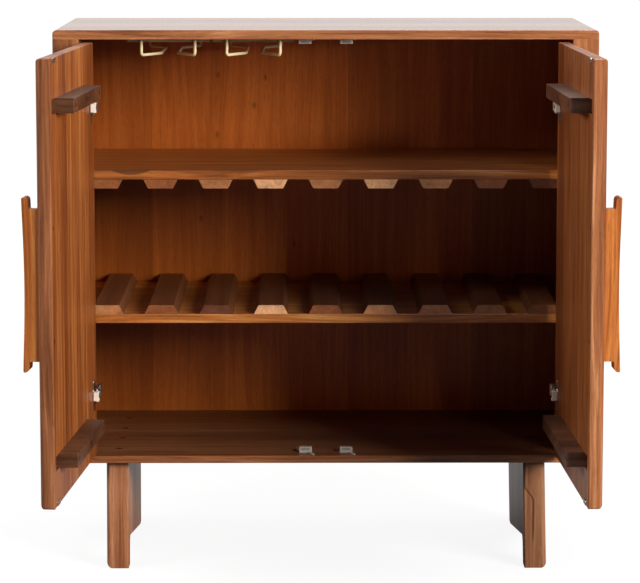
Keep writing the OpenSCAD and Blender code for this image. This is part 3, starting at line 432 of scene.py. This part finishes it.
def shake_marks(tree, place, shade):
    """Grown-over shake in the right leg: a dark line that swings in from the inner edge and runs down."""
    axes = add(tree, "ShaderNodeSeparateXYZ", {0: place})
    swing = add(tree, "ShaderNodeMapRange", {
        0: axes.outputs["Z"], 1: SWING_FROM, 2: SWING_TO, 3: 0.0, 4: SWING},
        interpolation_type="SMOOTHSTEP")
    away = add(tree, "ShaderNodeMath", {0: axes.outputs["X"], 1: swing}, operation="ADD")
    away = add(tree, "ShaderNodeMath", {0: away, 1: SHAKE_X}, operation="SUBTRACT")
    away = add(tree, "ShaderNodeMath", {0: away}, operation="ABSOLUTE")
    line = add(tree, "ShaderNodeMapRange", {0: away, 1: 0.0004, 2: 0.0028, 3: SHAKE_SHADE, 4: 1.0})
    low = add(tree, "ShaderNodeMapRange", {
        0: axes.outputs["Z"], 1: FADE_FROM, 2: FADE_TO, 3: 1.0, 4: 0.0})
    kept = add(tree, "ShaderNodeMath", {0: line, 1: low}, operation="MAXIMUM")
    return add(tree, "ShaderNodeVectorMath", {0: shade, "Scale": kept}, operation="SCALE")


# Tones of the stained acacia, from dark latewood to light sapwood
CASE = ("#744224", "#925934", "#a36841", "#bd8559")
LEGS = ("#824a2c", "#a06442", "#af724e", "#c38c66")
DARK_LEG = ("#5a321c", "#71442c", "#7e5035", "#926647")
INSIDE = ("#b05a21", "#bf6427", "#c96d2c", "#d47a36")
SHELF = ("#7a431b", "#a05a26", "#b86e32", "#d69852")
DOOR = ("#5c2d0e", "#783e1a", "#8d4c22", "#ae6c37")
STICK = ("#6d6d6d", "#7c7c7c", "#868686", "#949494")
BATTEN = {
    "left": ("#331a0e", "#482a19", "#56331f", "#6c462e"),
    "right": ("#3a1e10", "#52301c", "#623a24", "#7c5034")}
HANDLE = ("#88461b", "#a95e28", "#bb7035", "#d18f52")

dress(wood("oiled acacia, top board", CASE, SIDEWAYS, rough=0.3, coat=1.0), "top_board")
dress(wood("oiled acacia, bottom board", CASE, SIDEWAYS, marks=painted_shade_face_marks), "bottom_board")
dress(wood("oiled acacia, back panel", INSIDE, ring=60.0, figure=0.15, marks=panel_marks), "back_panel")
dress(wood("oiled acacia, upper shelf", SHELF, SIDEWAYS, marks=wane_marks), "upper_shelf")
dress(wood("oiled acacia, lower shelf", SHELF, SIDEWAYS), "lower_shelf")
for shelf, ends in (("lower", "tbdpblltb"), ("upper", "bbtptplbd")):
    dress(wood("oiled acacia, %s ribs" % shelf, STICK, BACKWARDS, ring=12.0, figure=0.2, wander=0.004,
               marks=rib_tone_and_painted_shade_marks(ends)), shelf + "_shelf_ribs")
for side in ("left", "right"):
    along_door = (0.0, 90.0, -HAND[side] * OPENED[side])
    dress(wood("oiled acacia, %s side" % side, CASE), side + "_side")
    dress(wood("oiled acacia, %s hinge post" % side, CASE), side + "_hinge_post")
    if side == "left":
        dress(wood("oiled acacia, left leg", LEGS), "left_leg")
    else:
        dress(wood("oiled acacia, right leg", DARK_LEG, marks=shake_marks), "right_leg")
    for number in (1, 2, 3, 4):
        dress(wood("oiled acacia, %s door board %d" % (side, number), DOOR, marks=door_edge_painted_sheen_marks),
              "%s_door_board_%d" % (side, number))
    dress(wood("stained acacia, %s battens" % side, BATTEN[side], along_door),
          side + "_upper_batten", side + "_lower_batten")
    dress(wood("oiled acacia, %s handle" % side, HANDLE, figure=0.2), side + "_handle")

# Pale and even, with hardly any figure
dowel = wood("turned beech, dowels", ("#b08a58", "#c8a370", "#d6b585", "#e0c49a"), ring=3.0)
# Greyish brown, thinly stained
strips = wood("stained acacia, rack strips", ("#5c4434", "#7a5f4c", "#94765f", "#a88a72"), SIDEWAYS)
# Pale gold, with the soft broad shine of a fired coat
champagne = moulded("champagne enamelled steel", "#d8c494", "#e2d0a4", 0.28)
# Dull dark brown
bronze = metal("bronzed steel", "#6b4a34", 0.5)
# Warm silver, with blurred reflections
nickel = metal("satin nickel plated steel", "#d8d0c4", 0.32)
# Nearly black, with a faint shine
blackened = metal("blackened steel", "#3a3634", 0.45)
# Warm mid grey, matt
grey_plastic = moulded("moulded grey plastic", "#a0968c", "#b3a99e", 0.45)
# Dark grey, dry and dull
ferrite = moulded("pressed ferrite", "#76706a", "#8b847c", 0.5)

dress(dowel, "case_dowels", "shelf_dowels")
dress(blackened, "back_panel_screws")
dress(bronze, "leg_screws")
dress(champagne, "rack_screws")
dress(strips, "left_rack_plates", "right_rack_plates")
dress(grey_plastic, "upper_left_catch", "upper_right_catch", "lower_left_catch", "lower_right_catch")
dress(ferrite, "catch_magnets")
dress(nickel, "catch_screws", "hinge_plate_screws")
for side in ("left", "right"):
    dress(blackened, side + "_batten_screws", side + "_handle_screws")
    dress(nickel, *(side + part for part in (
        "_hinge_plates", "_hinge_arms", "_hinge_links", "_strike_plates", "_small_screws")))
    dress(capped_metal("nickel plated cup with a cream cap, " + side, side), side + "_hinge_cups")
    rack(side, champagne)

# Studio: white to the camera and behind the cabinet, dark in front, so that the open case keeps its depth
WHITE = colour("#ffffff")
SKY_IN_FRONT, SKY_BEHIND = 0.01, 0.85
# Glow of the paper floor to the camera near the cabinet, and in reflections behind it
FLOOR_GLOW = 0.90
FLOOR_GLOSS = 0.4
FLOOR_REACH = 30

world = bpy.data.worlds.new("studio")
bpy.context.scene.world = world
world.use_nodes = True
tree = world.node_tree
tree.nodes.clear()
towards = add(tree, "ShaderNodeSeparateXYZ", {0: add(tree, "ShaderNodeTexCoord").outputs["Generated"]})
behind = add(tree, "ShaderNodeMapRange", {
    0: towards.outputs["Y"], 1: -0.25, 2: 0.25, 3: SKY_IN_FRONT, 4: SKY_BEHIND})
strength = add(tree, "ShaderNodeMath", {
    0: behind, 1: add(tree, "ShaderNodeLightPath").outputs["Is Camera Ray"]}, operation="MAXIMUM")
sky = add(tree, "ShaderNodeBackground", {"Color": WHITE, "Strength": strength})
add(tree, "ShaderNodeOutputWorld", {"Surface": sky})

floor_mesh = bpy.data.meshes.new("floor")
corners = [(x * FLOOR_REACH, y * FLOOR_REACH, 0) for x, y in ((-1, -1), (1, -1), (1, 1), (-1, 1))]
floor_mesh.from_pydata(corners, [], [(0, 1, 2, 3)])
floor = bpy.data.objects.new("floor", floor_mesh)
bpy.context.collection.objects.link(floor)
paper, tree, shader = new_material("studio paper", {
    "Base Color": colour("#5a5a5a"), "Roughness": 0.9, "Specular IOR Level": 0.0, "Emission Color": WHITE})
place = add(tree, "ShaderNodeTexCoord").outputs["Object"]
path = add(tree, "ShaderNodeLightPath")
away = add(tree, "ShaderNodeVectorMath", {0: place}, operation="LENGTH").outputs["Value"]
glow = add(tree, "ShaderNodeMapRange", {0: away, 1: 0.8, 2: 3.0, 3: FLOOR_GLOW, 4: 1.0})
glow = add(tree, "ShaderNodeMath", {0: glow, 1: path.outputs["Is Camera Ray"]}, operation="MULTIPLY")
depth = add(tree, "ShaderNodeSeparateXYZ", {0: place}).outputs["Y"]
behind = add(tree, "ShaderNodeMapRange", {0: depth, 1: -0.2, 2: 0.6, 3: 0.0, 4: FLOOR_GLOSS})
glow = add(tree, "ShaderNodeMath", {
    0: behind, 1: path.outputs["Is Glossy Ray"], 2: glow}, operation="MULTIPLY_ADD")
tree.links.new(glow.outputs[0], shader.inputs["Emission Strength"])
floor_mesh.materials.append(paper)


# Point of the case that the lamps are aimed at
AIM = Vector((0.0, 0.0, 0.6))


def lamp(name, place, size, power, diffuse=True, glossy=True):
    """A rectangular soft light towards AIM, which shines on the matt colour, the gloss or both."""
    data = bpy.data.lights.new(name, "AREA")
    data.shape = "RECTANGLE"
    data.size, data.size_y = size
    data.energy = power
    made = bpy.data.objects.new(name, data)
    made.location = place
    made.rotation_euler = (AIM - Vector(place)).to_track_quat("-Z", "Y").to_euler()
    made.visible_diffuse = diffuse
    made.visible_glossy = glossy
    bpy.context.collection.objects.link(made)


# The key stands 43 degrees to the right of the front, low enough to reach under the shelves, and the
# fill far to the left. The key leaves out reflections, so that it puts no glare on the top board; the
# card takes its place there.
lamp("key", (2.95, -3.16, 1.84), (1.9, 1.3), 305.0, glossy=False)
lamp("fill", (-2.31, -1.34, 2.0), (0.8, 0.8), 45.0)
lamp("overhead", (0.0, 0.3, 4.0), (2.4, 1.6), 45.0)
lamp("card", (1.0, -2.6, 3.2), (1.6, 1.0), 110.0, diffuse=False)

# Camera at the photograph's viewing angle, 5.1 m away, looking down by 7 degrees through a long lens
camera_data = bpy.data.cameras.new("camera")
camera_data.lens = 149.73
camera_data.sensor_width = 36.0
camera_data.shift_y = -0.12
camera_data.clip_end = 100.0
camera = bpy.data.objects.new("camera", camera_data)
camera.location = (-0.0351, -5.0826, 1.2813)
camera.rotation_euler = (math.pi / 2 - 0.1246, 0.0, -0.005)
bpy.context.collection.objects.link(camera)
bpy.context.scene.camera = camera
bpy.context.scene.view_settings.view_transform = "Standard"
